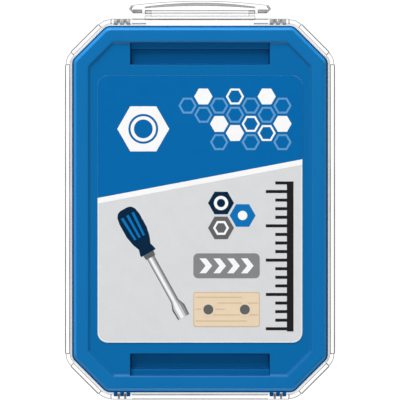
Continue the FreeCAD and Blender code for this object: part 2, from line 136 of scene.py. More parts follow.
# One screw, measured down from its head's top
SCREW_LENGTH = 27.8
HEAD_PROFILE = ((1.52, 0.0), (2.55, 0.0), (3.05, -0.1), (3.36, -0.36), (3.5, -0.75), (3.5, -1.85),
                (3.38, -2.2), (3.1, -2.4), (1.75, -2.4), (1.45, -2.65), (1.36, -3.1))
SHANK_R = 1.36
THREAD_START = 14.6
THREAD_PITCH = 1.3
THREAD_STEPS = 12
ROOT_R = 1.12
CREST_R = 1.75
POINT_LENGTH = 4.2
SOCKET_HALF = 1.4
SOCKET_DEPTH = 1.6

# The label's outline about the tray's middle, and the height of one layer of ink on it
LABEL_HALF_X = 37.0
LABEL_TOP_Y = 48.25
LABEL_ROUND = 3.6
INK_STEP = 0.02
ROUND_STEPS = 36

# The stripe across the label rises from left to right
STRIPE_LEFT_Y = 4.0
STRIPE_RIGHT_Y = 18.0
STRIPE_WIDTH = 2.0

# The pictured screwdriver starts at its grip's end and leans down to the right
DRIVER_X = -27.5
DRIVER_Y = 0.0
DRIVER_LEAN = math.radians(-61)

LABEL_GREY = (0.70, 0.71, 0.72)
INK_COLOURS = {
    "blue": (0.0005, 0.136, 0.402),
    "white": (0.96, 0.96, 0.96),
    "pale_paper": (0.82, 0.84, 0.86),
    "pale_blue": (0.12, 0.33, 0.62),
    "black": (0.017, 0.014, 0.0145),
    "navy": (0.0012, 0.0194, 0.0545),
    "mid_blue": (0.003, 0.171, 0.485),
    "slate": (0.127, 0.127, 0.133),
    "box_grey": (0.243, 0.246, 0.254),
    "wood": (0.831, 0.672, 0.479),
    "grain": (0.66, 0.47, 0.29),
}

# The tray's middle in the frame that all nodes share
FRAME_SHIFT_Y = -3.35

# The view from straight above: its pixels, a pixel's size, the tray's middle row, the lens's distance
# above the lid in metres and its sensor's width
VIEW_PIXELS = 400
PIXEL = 0.3614
TRAY_ROW = 209.1
CAMERA_DISTANCE = 5.0
SENSOR_WIDTH = 36.0

# The floor's and the room's light, and the lamps as (name, place in metres, size, power)
FLOOR_GLOW_SHARE = 0.9
FLOOR_GLOW = 1.12
FLOOR_HALF = 3.0
ROOM_LEVEL = 0.62
OVERHEAD_DIMMING = 0.5
LAMPS = (("key_lamp", (-0.54, 2.02, 0.86), 1.1, 74.0), ("left_lamp", (-1.7, -0.63, 1.1), 1.4, 3.4),
         ("low_lamp", (0.2, -2.0, 0.9), 1.6, 24.0))


def metres(x, y, z):
    """A point given in millimetres."""
    return Vector((x * MM, y * MM, z * MM))


class Link:
    """A node's output that can stand in a Python expression."""

    def __init__(self, nodes, socket):
        self.nodes = nodes
        self.socket = socket

    def maths(self, operation, *values):
        return self.nodes.node("ShaderNodeMath", {"operation": operation}, dict(enumerate(values)))

    def __add__(self, other):
        return self.maths("ADD", self, other)

    def __sub__(self, other):
        return self.maths("SUBTRACT", self, other)

    def __rsub__(self, other):
        return self.maths("SUBTRACT", other, self)

    def __mul__(self, other):
        return self.maths("MULTIPLY", self, other)

    def __pow__(self, other):
        return self.maths("POWER", self, other)

    def __lt__(self, other):
        return self.maths("LESS_THAN", self, other)

    __radd__ = __add__
    __rmul__ = __mul__


class Nodes:
    """A shader's node tree, to which nodes are added one by one."""

    def __init__(self, owner, emptied=True):
        owner.use_nodes = True
        self.tree = owner.node_tree
        if emptied:
            self.tree.nodes.clear()

    def put(self, socket, value):
        """Give a socket a value or a link."""
        if isinstance(value, Link):
            self.tree.links.new(value.socket, socket)
        else:
            socket.default_value = value

    def node(self, kind, settings, inputs, output=0):
        """Add a node: its settings first, then its sockets by name or number."""
        node = self.tree.nodes.new(kind)
        for name, value in settings.items():
            if name == "stops":
                ramp = node.color_ramp
                ramp.elements[0].position, ramp.elements[0].color = value[0]
                ramp.elements[1].position, ramp.elements[1].color = value[-1]
                for position, colour in value[1:-1]:
                    ramp.elements.new(position).color = colour
            else:
                setattr(node, name, value)
        for name, value in inputs.items():
            self.put(node.inputs[name], value)
        return Link(self, node.outputs[output])

    def show(self, kind, value):
        """Link a new output node of that kind."""
        self.put(self.tree.nodes.new(kind).inputs["Surface"], value)


class Finish(Nodes):
    """A material whose nodes stand behind its Principled shader."""

    def __init__(self, name, **constants):
        self.material = bpy.data.materials.new(name)
        super().__init__(self.material, emptied=False)
        self.shader = self.tree.nodes["Principled BSDF"]
        for socket, value in constants.items():
            self.shader.inputs[socket.replace("_", " ")].default_value = value

    def place(self):
        """The surface point in the object's own coordinates, in metres."""
        return self.node("ShaderNodeTexCoord", {}, {}, "Object")

    def noise(self, place, scale, detail=2.0, roughness=0.5, distortion=0.0):
        """Cloudy values from 0 to 1; scale is in features per metre."""
        return self.node("ShaderNodeTexNoise", {}, {
            "Vector": place, "Scale": scale, "Detail": detail, "Roughness": roughness,
            "Distortion": distortion})

    def stretched(self, place, scale, turn=0.0):
        """Coordinates squeezed along their axes, for scratches and brushed grain."""
        return self.node("ShaderNodeMapping", {}, {
            "Vector": place, "Scale": scale, "Rotation": (0.0, 0.0, turn)})

    def blend(self, mask, first, second):
        """Mix two colours by a mask."""
        return self.node("ShaderNodeMix", {"data_type": "RGBA"}, {0: mask, 6: first, 7: second}, 2)

    def between(self, value, low, high, to_low, to_high):
        """Map a range of values to another, held at its ends."""
        return self.node("ShaderNodeMapRange", {"clamp": True}, {
            "Value": value, "From Min": low, "From Max": high, "To Min": to_low, "To Max": to_high})

    def feed(self, **sockets):
        """Link what varies to the shader's own sockets."""
        for name, value in sockets.items():
            self.put(self.shader.inputs[name.replace("_", " ")], value)

    def cover(self, mask, colour):
        """Lay a matt colour over the finish where the mask is high."""
        matt = self.node("ShaderNodeBsdfDiffuse", {}, {"Color": colour})
        mix = self.node("ShaderNodeMixShader", {}, {0: mask, 1: Link(self, self.shader.outputs[0]), 2: matt})
        self.tree.links.new(mix.socket, self.tree.nodes["Material Output"].inputs["Surface"])

    def bump(self, height, distance, strength=1.0):
        """Raise the surface by a height map; distance is in metres."""
        normal = self.node("ShaderNodeBump", {}, {
            "Height": height, "Distance": distance, "Strength": strength})
        self.feed(Normal=normal)


def clear_plastic(name, face_on, grazing, face_colour, rim_colour):
    """Clear moulding whose cover rises from face-on to grazing, with its colour painted greyer towards
    grazing as shade, for the darkening thick plastic shows at its edges.
    """
    finish = Finish(name, IOR=1.49)
    place = finish.place()
    facing = finish.node("ShaderNodeLayerWeight", {}, {"Blend": 0.5}, "Facing")
    haze = finish.noise(place, 90.0, 3.0)
    scuff = finish.noise(finish.stretched(place, (1.0, 6.0, 1.0), 0.6), 420.0, 4.0)
    slope = finish.between(facing, 0.3, 1.0, 0.0, 1.0)
    alpha = face_on * (0.7 + 0.6 * haze) + slope ** 2.2 * (grazing - face_on)
    finish.feed(Alpha=alpha, Base_Color=finish.blend(slope, face_colour, rim_colour),
                Roughness=0.05 + 0.12 * finish.between(scuff, 0.55, 0.75, 0.0, 1.0))
    finish.bump(finish.noise(place, 55.0, 2.0), 0.0001, 0.3)
    return finish.material


def blue_plastic():
    """Satin blue moulding with a fine grain, faint flow marks and handling scuffs, with painted shade on the
    panel, in the recesses, on steep sides and inner steps, and a painted highlight on the outer roundings.
    """
    finish = Finish("blue_moulding", Specular_IOR_Level=0.16)
    place = finish.place()
    across, along, height = [finish.node("ShaderNodeSeparateXYZ", {}, {"Vector": place}, axis)
                             for axis in "XYZ"]
    across = across.maths("ABSOLUTE", across)
    along = along.maths("ABSOLUTE", along - FRAME_SHIFT_Y * MM)
    flow = finish.noise(finish.stretched(place, (1.0, 0.35, 1.0)), 38.0, 3.0, 0.6, 0.8)
    upright = finish.node("ShaderNodeSeparateXYZ", {}, {
        "Vector": finish.node("ShaderNodeTexCoord", {}, {}, "Normal")}, "Z")
    # Painted shade: a darker blue on the panel and on everything below its level
    panel_shade = finish.between(height, PANEL_Z * MM, (PANEL_Z + 0.4) * MM, 1.0, 0.0)
    # Painted shade: a slightly darker, less red blue in the recesses and down the lid's sides, below the
    # panel
    recess_shade = finish.between(height, (PANEL_Z - 0.9) * MM, (PANEL_Z - 0.3) * MM, 1.0, 0.0)
    within = (across < PANEL_HALF_X * MM) * (along < PANEL_HALF_Y * MM)
    within *= across + along < PANEL_CORNER_SUM * MM
    # Where the surface turns from flat: painted highlight on the outer roundings, painted shade on the steps
    # inside the panel
    turned = finish.between(upright, 0.72, 0.96, 1.0, 0.0)
    base = finish.blend(flow, (0.003, 0.153, 0.420, 1.0), (0.006, 0.172, 0.455, 1.0))
    base = finish.blend(panel_shade, base, (0.0018, 0.142, 0.395, 1.0))
    base = finish.blend(recess_shade, base, (0.0003, 0.140, 0.405, 1.0))
    # Painted highlight: a lighter blue on the roundings round the lid's outside
    base = finish.blend(0.5 * turned * (1 - within), base, (0.012, 0.27, 0.66, 1.0))
    # Painted shade: a darker blue on the steps and recess walls inside the panel
    base = finish.blend(0.75 * turned * within, base, (0.0006, 0.07, 0.22, 1.0))
    scuff = finish.noise(finish.stretched(place, (1.0, 9.0, 1.0), 0.9), 310.0, 5.0)
    grain = finish.noise(place, 2600.0, 2.0)
    finish.feed(Base_Color=base,
                Roughness=0.30 + 0.12 * flow + 0.10 * finish.between(scuff, 0.6, 0.8, 0.0, 1.0))
    finish.bump(grain + 6.0 * finish.noise(place, 120.0, 2.0), 0.00001, 0.5)
    # Painted shade: a dark matt blue over steep sides, as the dark outline round the lid, and half over the
    # panel's inner steps
    steep_side_shade = finish.between(upright.maths("ABSOLUTE", upright), 0.25, 0.64, 0.95, 0.0)
    finish.cover(steep_side_shade.maths("MAXIMUM", steep_side_shade, 0.5 * turned * within), (0.0004, 0.045, 0.15, 1.0))
    return finish.material


def ink(name, colour, tone=0.06, roughness=0.34):
    """One ink of the printed film: dot grain, slight mottle, semi-gloss varnish."""
    finish = Finish("ink_" + name, Specular_IOR_Level=0.12)
    place = finish.place()
    mottle = finish.noise(place, 240.0, 3.0)
    fibre = finish.noise(place, 3200.0, 2.0)
    darker = tuple(c * (1 - tone) for c in colour) + (1.0,)
    lighter = tuple(min(1.0, c * (1 + tone)) for c in colour) + (1.0,)
    finish.feed(Base_Color=finish.blend(0.7 * mottle + 0.3 * fibre, darker, lighter),
                Roughness=roughness + 0.08 * mottle)
    finish.bump(fibre + 2.0 * mottle, 0.000006, 0.5)
    return finish.material


def metal_ink():
    """The pictured shaft's greys, taken from each slab's own tone."""
    finish = Finish("ink_metal", Specular_IOR_Level=0.3)
    tone = finish.node("ShaderNodeAttribute", {"attribute_name": "tone"}, {}, "Fac")
    mottle = finish.noise(finish.place(), 900.0, 2.0)
    grey = tone * (0.97 + 0.06 * mottle)
    colour = finish.node("ShaderNodeCombineColor", {}, {0: grey * 0.98, 1: grey * 0.99, 2: grey})
    finish.feed(Base_Color=colour, Roughness=0.3 + 0.1 * mottle)
    return finish.material


def zinc():
    """Zinc-plated steel: brushed, slightly clouded, with darker spots of chromate."""
    finish = Finish("zinc_plating")
    place = finish.place()
    cloud = finish.noise(place, 260.0, 4.0)
    spots = finish.between(finish.noise(place, 900.0, 3.0), 0.62, 0.75, 0.0, 1.0)
    colour = finish.blend(cloud, (0.50, 0.51, 0.53, 1.0), (0.74, 0.74, 0.73, 1.0))
    colour = finish.blend(spots * 0.5, colour, (0.30, 0.29, 0.27, 1.0))
    finish.feed(Base_Color=colour, Metallic=1.0 - 0.25 * spots, Roughness=0.22 + 0.22 * cloud)
    finish.bump(finish.noise(place, 4200.0, 2.0), 0.00001, 0.4)
    return finish.material


def backdrop_white():
    """Pale floor that shows white to the camera and in reflections, and keeps the shadow."""
    material = bpy.data.materials.new("studio_floor")
    nodes = Nodes(material)
    camera, glossy, through = [nodes.node("ShaderNodeLightPath", {}, {}, "Is %s Ray" % kind)
                               for kind in ("Camera", "Glossy", "Transmission")]
    seen = camera.maths("MAXIMUM", camera, glossy)
    share = seen.maths("MAXIMUM", seen, through) * FLOOR_GLOW_SHARE
    paint = nodes.node("ShaderNodeBsdfDiffuse", {}, {"Color": (0.9, 0.9, 0.9, 1.0)})
    glow = nodes.node("ShaderNodeEmission", {}, {"Color": (1.0, 1.0, 1.0, 1.0), "Strength": FLOOR_GLOW})
    mixed = nodes.node("ShaderNodeMixShader", {}, {0: share, 1: paint, 2: glow})
    nodes.show("ShaderNodeOutputMaterial", mixed)
    return material


def mesh_from(work, name):
    """Turn worked geometry into a mesh."""
    mesh = bpy.data.meshes.new(name)
    work.to_mesh(mesh)
    work.free()
    return mesh


def add_object(name, mesh, material=None):
    """Put a finished mesh into the scene, at the origin."""
    piece = bpy.data.objects.new(name, mesh)
    bpy.context.scene.collection.objects.link(piece)
    if material:
        mesh.materials.clear()
        mesh.materials.append(material)
    return piece


def smoothed(piece, sharp):
    """Smooth shading up to a sharp angle, with large faces kept flat."""
    piece.data.shade_smooth()
    piece.data.set_sharp_from_angle(angle=sharp)
    even = piece.modifiers.new("even_shading", "WEIGHTED_NORMAL")
    even.keep_sharp = True
    return applied(piece)


def applied(piece):
    """Turn an object's modifiers into its plain mesh."""
    graph = bpy.context.evaluated_depsgraph_get()
    mesh = bpy.data.meshes.new_from_object(piece.evaluated_get(graph))
    piece.modifiers.clear()
    piece.data = mesh
    return piece


def ring_points(inset, steps=8):
    """Rounded octagon parallel to the tray's edge, anticlockwise from the right-hand side."""
    half_x = TRAY_HALF_X - inset
    half_y = TRAY_HALF_Y - inset
    cut = CORNER_CUT - inset * (2 - math.sqrt(2))
    radius = max(CORNER_ROUND - inset, SMALLEST_ROUND)
    octagon = [(half_x, half_y - cut), (half_x - cut, half_y),
               (cut - half_x, half_y), (-half_x, half_y - cut)]
    octagon += [(-x, -y) for x, y in octagon]
    points = []
    for i, (x, y) in enumerate(octagon):
        start = math.pi / 4 * i
        inward = radius / math.cos(math.pi / 8)
        middle_x = x - inward * math.cos(start + math.pi / 8)
        middle_y = y - inward * math.sin(start + math.pi / 8)
        for step in range(steps + 1):
            angle = start + math.pi / 4 * step / steps
            points.append((middle_x + radius * math.cos(angle), middle_y + radius * math.sin(angle)))
    return points


def placed(x, y, z):
    """A point given about the tray's middle, in the frame's metres."""
    return metres(x, y + FRAME_SHIFT_Y, z)


def add_band(work, lower, upper):
    """Faces between two rings of as many vertices."""
    return [work.faces.new((lower[i - 1], lower[i], upper[i], upper[i - 1])) for i in range(len(lower))]


def skin(work, outlines):
    """Closed solid of outlines joined one to the next, with its first and last ones filled."""
    rings = [[work.verts.new(placed(*point)) for point in outline] for outline in outlines]
    for lower, upper in zip(rings, rings[1:]):
        add_band(work, lower, upper)
    work.faces.new(rings[0])
    work.faces.new(rings[-1])


def add_bar(work, x0, x1, section):
    """Closed bar along X with a section given as (y, z) points."""
    skin(work, [[(x, y, z) for y, z in section] for x in (x0, x1)])


def add_post(work, outline, low, high):
    """Closed upright prism on an outline of (x, y) points."""
    skin(work, [[(x, y, z) for x, y in outline] for z in (low, high)])


def add_recess(work, section):
    """Stepped hollow whose end walls lean inwards on the way down."""
    skin(work, [[(side * (RECESS_HALF - RECESS_DRAFT * (RECESS_TOP - z)), y, z) for y, z in section]
                for side in (-1, 1)])


def box_section(y0, y1, z0, z1):
    """Oblong section of a bar."""
    return (y0, z0), (y1, z0), (y1, z1), (y0, z1)


def round_section(y, z, radius, steps=24):
    """Round section of a bar."""
    turn = 2 * math.pi / steps
    return [(y + radius * math.cos(i * turn), z + radius * math.sin(i * turn)) for i in range(steps)]


def tray_row(flat_inset, flat_z, corner_inset, corner_z):
    """One outline of the tray, whose flats stand proud of its corners with a short jog between."""
    arcs = ring_points(corner_inset)
    flats = ring_points(flat_inset)
    count = len(arcs)
    per_corner = count // 8
    row = []
    for first in range(0, count, per_corner):
        row += [(placed(x, y, corner_z), False) for x, y in arcs[first:first + per_corner]]
        start = Vector(flats[first + per_corner - 1])
        end = Vector(flats[(first + per_corner) % count])
        length = (end - start).length
        reach = min(RIM_GAP_HALF, 0.3 * length)
        for place in (JOG, length / 2 - reach, length / 2 + reach, length - JOG):
            row.append((placed(*start.lerp(end, place / length), flat_z), True))
    return row


def strip_slot(section, start, end, on_jog):
    """Material of one face of the tray's skin, which runs between two points of an outline."""
    slot = section[4]
    if on_jog and section[0] != section[2]:
        slot = EDGE
    if section[4] == SEAT and min(abs(start.x), abs(end.x)) < SEAT_FROM_X * MM:
        slot = FACE
    across, along = abs(start.x - end.x), abs(start.y - end.y)
    if section[1] == LEDGE_CORNER_Z and max(across, along) < 3.0 * min(across, along):
        slot = FACE
    within_gap = max(abs(start.x), abs(end.x)) < (RIM_GAP_HALF + 0.1) * MM
    behind_nose = within_gap and min(start.y, end.y) > LATCH_END_Y * MM
    if behind_nose and section[4] == EDGE and section[0] > RIM_INSIDE:
        slot = FACE
    return slot


def tray_shell():
    """The tray's one closed skin, with dark strips of painted shade along its edges and jogs."""
    work = bmesh.new()
    rows = []
    for section in TRAY_SECTION:
        rows.append([(work.verts.new(place), flat) for place, flat in tray_row(*section[:4])])
    for before, after, section in zip(rows, rows[1:], TRAY_SECTION[1:]):
        for i in range(len(before)):
            (start, start_flat), (end, end_flat) = before[i - 1], before[i]
            face = work.faces.new((start, end, after[i][0], after[i - 1][0]))
            face.material_index = strip_slot(section, start.co, end.co, start_flat != end_flat)
    work.faces.new([vertex for vertex, _ in rows[0]])
    work.faces.new([vertex for vertex, _ in rows[-1]])
    return work


def clear_part(work, rounding=0.0, slot=FACE, edge_slot=EDGE, wall_slot=None):
    """One part of a clear moulding, with its own materials on its roundings and upright walls."""
    bmesh.ops.recalc_face_normals(work, faces=work.faces)
    if rounding:
        for face in work.faces:
            upright = wall_slot is not None and abs(face.normal.z) < 0.9
            face.material_index = wall_slot if upright else slot
    part = add_object("clear_part", mesh_from(work, "clear_part"))
    for material in CLEAR_MATERIALS:
        part.data.materials.append(material)
    if rounding:
        softened(part, rounding, edge_slot)
    return part


def softened(part, rounding, edge_slot=-1, sharp=0.7):
    """Round a part's sharp edges, in the material beside them where no slot is given."""
    bevel = part.modifiers.new("mould_radius", "BEVEL")
    bevel.width = rounding * MM
    bevel.segments = 2
    bevel.limit_method = "ANGLE"
    bevel.angle_limit = sharp
    bevel.material = edge_slot
    return applied(part)


def fused(parts):
    """Parts grown together, without the walls that would be inside."""
    for part in parts[1:]:
        combined(parts[0], part, "UNION")
    return parts[0]


def joined(name, parts):
    """The parts of one moulding as one piece."""
    work = bmesh.new()
    for part in parts:
        work.from_mesh(part.data)
        bpy.data.objects.remove(part)
    piece = add_object(name, mesh_from(work, name))
    for material in CLEAR_MATERIALS:
        piece.data.materials.append(material)
    return smoothed(piece, 0.6)


def add_eye(work, x0, x1, y, z, outer, bore, steps=20):
    """Short tube along X, as a hook or a lug has round its pin."""
    rings = [[[work.verts.new(placed(x, *point)) for point in round_section(y, z, radius, steps)]
              for radius in (outer, bore)] for x in (x0, x1)]
    (left_out, left_in), (right_out, right_in) = rings
    add_band(work, left_out, right_out)
    add_band(work, left_in, right_in)
    add_band(work, left_out, left_in)
    add_band(work, right_out, right_in)


def finger_section():
    """A finger on the latch end: a stem with a round head."""
    turn = math.pi / 12
    head = [(KNUCKLE_Y + BARREL_R * math.cos(i * turn), RIM_Z + BARREL_R * math.sin(i * turn))
            for i in range(-1, 17)]
    return head + [(STEM_Y0, STEM_FOOT), (STEM_Y1, STEM_FOOT)]


def tray_moulding():
    """Clear tray: drafted body, ledge, proud rim, hinge hooks, guide blocks, lugs and rails."""
    notches = bmesh.new()
    for x in (-KNUCKLE_X, KNUCKLE_X):
        for y0, y1 in ((-NOTCH_Y1, -NOTCH_Y0), (NOTCH_Y0, NOTCH_Y1)):
            add_bar(notches, x - NOTCH_HALF, x + NOTCH_HALF, box_section(y0, y1, 25.0, 30.0))
    shell = combined(clear_part(tray_shell()), clear_part(notches), "DIFFERENCE")
    hooks, guides, webs, end_rail, rails, hollows, eyes, arms, bores = [bmesh.new() for _ in range(9)]
    for side in (-1, 1):
        middle = side * KNUCKLE_X
        for place in (-0.5, 0.5):
            x = middle + place * FINGER_PITCH
            add_eye(hooks, x - HOOK_HALF, x + HOOK_HALF, -KNUCKLE_Y, RIM_Z, BARREL_R, PIN_R + 0.06)
            add_bar(hooks, x - HOOK_HALF, x + HOOK_HALF, box_section(-STEM_Y1, -STEM_Y0, STEM_FOOT, 25.6))
            add_bar(guides, x - 0.45, x + 0.45, box_section(67.2, 68.8, 25.9, 27.0))
        for place in (-1, 0, 1):
            x = middle + place * FINGER_PITCH
            add_bar(guides, x - FINGER_HALF, x + FINGER_HALF, finger_section())
        reach = FINGER_PITCH + FINGER_HALF
        add_bar(webs, middle - reach, middle + reach, box_section(67.95, 68.8, 25.0, 27.2))
        left, right = sorted((side * LUG_X0, side * LUG_X1))
        add_bar(eyes, left, right, round_section(PIVOT_Y, PIVOT_Z, LUG_R))
        add_bar(arms, left, right, box_section(65.6, PIVOT_Y, PIVOT_Z - 1.25, PIVOT_Z + 1.25))
        add_bar(bores, left - 1.0, right + 1.0, round_section(PIVOT_Y, PIVOT_Z, LUG_BORE_R, 16))
        near, far = sorted((side * RAIL_NEAR_Y, side * RAIL_FAR_Y))
        add_bar(rails, -RAIL_HALF_X, RAIL_HALF_X, box_section(near, far, 0.0, 2.4))
        add_bar(hollows, RAIL_HOLLOW - RAIL_HALF_X, RAIL_HALF_X - RAIL_HOLLOW,
                box_section(near + RAIL_HOLLOW, far - RAIL_HOLLOW, -1.0, 2.0))
    add_bar(end_rail, -LATCH_HALF, LATCH_HALF, box_section(68.4, 69.95, 23.5, 25.0))
    stacking = combined(clear_part(rails), clear_part(hollows), "DIFFERENCE")
    lugs = combined(fused([clear_part(eyes), clear_part(arms)]), clear_part(bores), "DIFFERENCE")
    parts = [shell, softened(stacking, 0.15, EDGE), softened(lugs, 0.1, FACE),
             clear_part(hooks, 0.08, RIB, THICK), clear_part(guides, 0.08, RIB, THICK),
             clear_part(webs, 0.08, THICK, THICK), clear_part(end_rail, 0.16)]
    return joined("tray_moulding", parts)


def bow(reach, end_reach, half, steps=24):
    """Arc through the middle and both ends of a bowed edge, from left to right."""
    rise = reach - end_reach
    radius = (half ** 2 + rise ** 2) / (2 * rise)
    middle_y = TRAY_HALF_Y + reach - radius
    spread = math.asin(half / radius)
    angles = [spread * (2 * i / steps - 1) for i in range(steps + 1)]
    return [(radius * math.sin(angle), middle_y + radius * math.cos(angle)) for angle in angles]


def latch_moulding():
    """Clear latch: pivot barrel, plate, nose over the rim, bowed grip and wide thumb lip with ears."""
    lip, band, ears, ends, plate, neck, nose, barrel, stubs = [bmesh.new() for _ in range(9)]
    tips = [(25.7, 72.4), (24.2, 70.8)]
    add_post(lip, bow(6.4, 4.8, LIP_HALF) + tips + [(-x, y) for x, y in reversed(tips)], LIP_LOW, LIP_TOP)
    add_post(band, bow(5.75, 4.3, LATCH_HALF) + bow(4.65, 3.8, LATCH_HALF)[::-1], 18.4, LIP_LOW + 0.1)
    for side in (-1, 1):
        left, right = sorted((side * 20.9, side * 24.2))
        facet = ((LIP_HALF, 73.7), *tips, (23.5, 71.3), (24.7, 72.4), (24.0, 73.3))
        add_post(ends, [(side * x, y) for x, y in facet], 26.3, LIP_TOP + 0.04)
        add_bar(ears, left, right, box_section(PIVOT_Y, 72.2, 24.0, 27.2))
        stub = round_section(PIVOT_Y, PIVOT_Z, STUB_R, 16)
        add_bar(stubs, *sorted((side * (PIVOT_HALF - 0.3), side * LUG_X1)), stub)
    add_bar(plate, -LATCH_HALF, LATCH_HALF, box_section(PLATE_Y0, PLATE_Y1, PLATE_FOOT, LIP_TOP + 0.15))
    neck_section = box_section(PLATE_Y0 + 0.1, PLATE_Y1 - 0.1, PIVOT_Z, PLATE_FOOT + 0.6)
    add_bar(neck, -PIVOT_HALF, PIVOT_HALF, neck_section)
    hook = ((66.65, LIP_LOW), (66.65, LIP_TOP - 0.2), (66.9, LIP_TOP), (71.2, LIP_TOP), (71.2, LIP_LOW))
    add_bar(nose, -NOSE_HALF, NOSE_HALF, hook)
    add_bar(barrel, -PIVOT_HALF, PIVOT_HALF, round_section(PIVOT_Y, PIVOT_Z, PIVOT_R))
    pivot = fused([clear_part(barrel, 0.1), clear_part(stubs, 0.1), clear_part(neck, 0.1)])
    lever = fused([clear_part(lip, 0.16), clear_part(nose, 0.12, FACE, FACE),
                   clear_part(plate, 0.28, SEAT), pivot])
    parts = [lever, clear_part(band, 0.1, THICK, EDGE, FACE), clear_part(ears, 0.2, THICK),
             clear_part(ends, 0.1, THICK)]
    return joined("latch_moulding", parts)


def mesh_piece(name, work, material=None):
    """Finish a mesh: normals outwards, then into the scene."""
    bmesh.ops.recalc_face_normals(work, faces=work.faces)
    return add_object(name, mesh_from(work, name), material)


def combined(piece, other, operation):
    """Union or difference of two closed pieces; the second one is used up."""
    change = piece.modifiers.new("shape", "BOOLEAN")
    change.operation = operation
    change.solver = "EXACT"
    change.object = other
    applied(piece)
    bpy.data.objects.remove(other)
    return piece


def both_ends(section):
    """A section and its mirror image at the other end."""
    return section, [(-y, z) for y, z in section]


def lid_moulding(material):
    """Blue lid: raised border, lower panel, stepped recesses with pods below, hinge fingers."""
    shell = bmesh.new()
    skin(shell, [[(x, y, z) for x, y in ring_points(inset)] for inset, z in LID_SECTION])
    lid = mesh_piece("lid_moulding", shell, material)
    pods = bmesh.new()
    hollows = bmesh.new()
    for pod, recess in zip(both_ends(POD_SECTION), both_ends(RECESS_SECTION)):
        add_bar(pods, -RECESS_HALF - POD_WALL, RECESS_HALF + POD_WALL, pod)
        add_recess(hollows, recess)
    add_bar(hollows, -NOSE_HALF - NOSE_CLEARANCE, NOSE_HALF + NOSE_CLEARANCE, NOSE_GROOVE)
    combined(lid, mesh_piece("recess_pods", pods), "UNION")
    combined(lid, mesh_piece("recesses", hollows), "DIFFERENCE")
    fingers = bmesh.new()
    for side in (-1, 1):
        middle = side * KNUCKLE_X
        reach = FINGER_PITCH + FINGER_HALF
        add_bar(fingers, middle - reach, middle + reach, round_section(-KNUCKLE_Y, RIM_Z, PIN_R))
        for place in (-1, 0, 1):
            x = middle + place * FINGER_PITCH
            web = ((WEB_ROOT_Y, RIM_Z - WEB_HALF), (WEB_ROOT_Y, RIM_Z + WEB_HALF),
                   (-KNUCKLE_Y, RIM_Z + WEB_HALF), (-KNUCKLE_Y, RIM_Z - WEB_HALF))
            add_bar(fingers, x - FINGER_HALF, x + FINGER_HALF, round_section(-KNUCKLE_Y, RIM_Z, BARREL_R))
            add_bar(fingers, x - FINGER_HALF, x + FINGER_HALF, web)
    combined(lid, mesh_piece("hinge_fingers", fingers), "UNION")
    return smoothed(softened(lid, 0.14, sharp=0.95), 0.7)


def ring_of(work, radius, z, steps, square=False):
    """Vertices round the Z axis, on a circle or on a square of that half-width."""
    ring = []
    for i in range(steps):
        angle = 2 * math.pi * i / steps
        reach = radius
        if square:
            reach = radius / max(abs(math.cos(angle)), abs(math.sin(angle)))
        ring.append(work.verts.new(metres(reach * math.cos(angle), reach * math.sin(angle), z)))
    return ring


def join_rings(work, upper, lower):
    """A band of faces between two rings, facing outwards where the upper one comes first."""
    count = len(upper)
    for i in range(count):
        j = (i + 1) % count
        work.faces.new((upper[i], lower[i], lower[j], upper[j]))


def thread_radius(radius, depth):
    """A thread radius that shrinks to nothing along the point."""
    left = (SCREW_LENGTH - depth) / POINT_LENGTH
    return max(radius * min(1.0, max(left, 0.0)) ** 0.8, 0.03)


def helix_vertex(work, radius, step, lag):
    """One vertex of the thread's crest or root, lag turns behind."""
    turns = step / THREAD_STEPS
    angle = 2 * math.pi * turns
    depth = THREAD_START + THREAD_PITCH * (turns + lag)
    reach = thread_radius(radius, depth)
    return work.verts.new(metres(reach * math.cos(angle), reach * math.sin(angle), -depth))


def screw_mesh():
    """Pan-head screw, point down: square socket, smooth shank and a thread that winds to the point."""
    work = bmesh.new()
    floor = ring_of(work, SOCKET_HALF, -SOCKET_DEPTH, THREAD_STEPS, True)
    mouth = ring_of(work, SOCKET_HALF, -0.12, THREAD_STEPS, True)
    work.faces.new(floor)
    join_rings(work, floor, mouth)
    above = mouth
    for i, (radius, z) in enumerate(HEAD_PROFILE):
        ring = ring_of(work, radius, z, THREAD_STEPS, i == 0)
        join_rings(work, above, ring)
        above = ring
    below = ring_of(work, SHANK_R, -THREAD_START + THREAD_PITCH / 2, THREAD_STEPS)
    join_rings(work, above, below)
    last = int((SCREW_LENGTH - THREAD_START - 1.6 * THREAD_PITCH) / THREAD_PITCH * THREAD_STEPS)
    root = [helix_vertex(work, ROOT_R, i, 0.0) for i in range(last + THREAD_STEPS + 1)]
    crest = [helix_vertex(work, CREST_R, i, 0.5) for i in range(last + 1)]
    for i in range(THREAD_STEPS):
        j = (i + 1) % THREAD_STEPS
        work.faces.new((below[i], root[i], root[i + 1], below[j]))
    work.faces.new((below[0], root[THREAD_STEPS], crest[0], root[0]))
    for i in range(last):
        work.faces.new((root[i], crest[i], crest[i + 1], root[i + 1]))
        lower = i + THREAD_STEPS
        work.faces.new((crest[i], root[lower], root[lower + 1], crest[i + 1]))
    tip = work.verts.new(metres(0, 0, -SCREW_LENGTH))
    end = root[last:] + [crest[last]]
    for i, vertex in enumerate(end):
        work.faces.new((vertex, tip, end[(i + 1) % len(end)]))
    bmesh.ops.recalc_face_normals(work, faces=work.faces)
    mesh = mesh_from(work, "one_screw")
    mesh.shade_smooth()
    mesh.set_sharp_from_angle(angle=0.8)
    return mesh


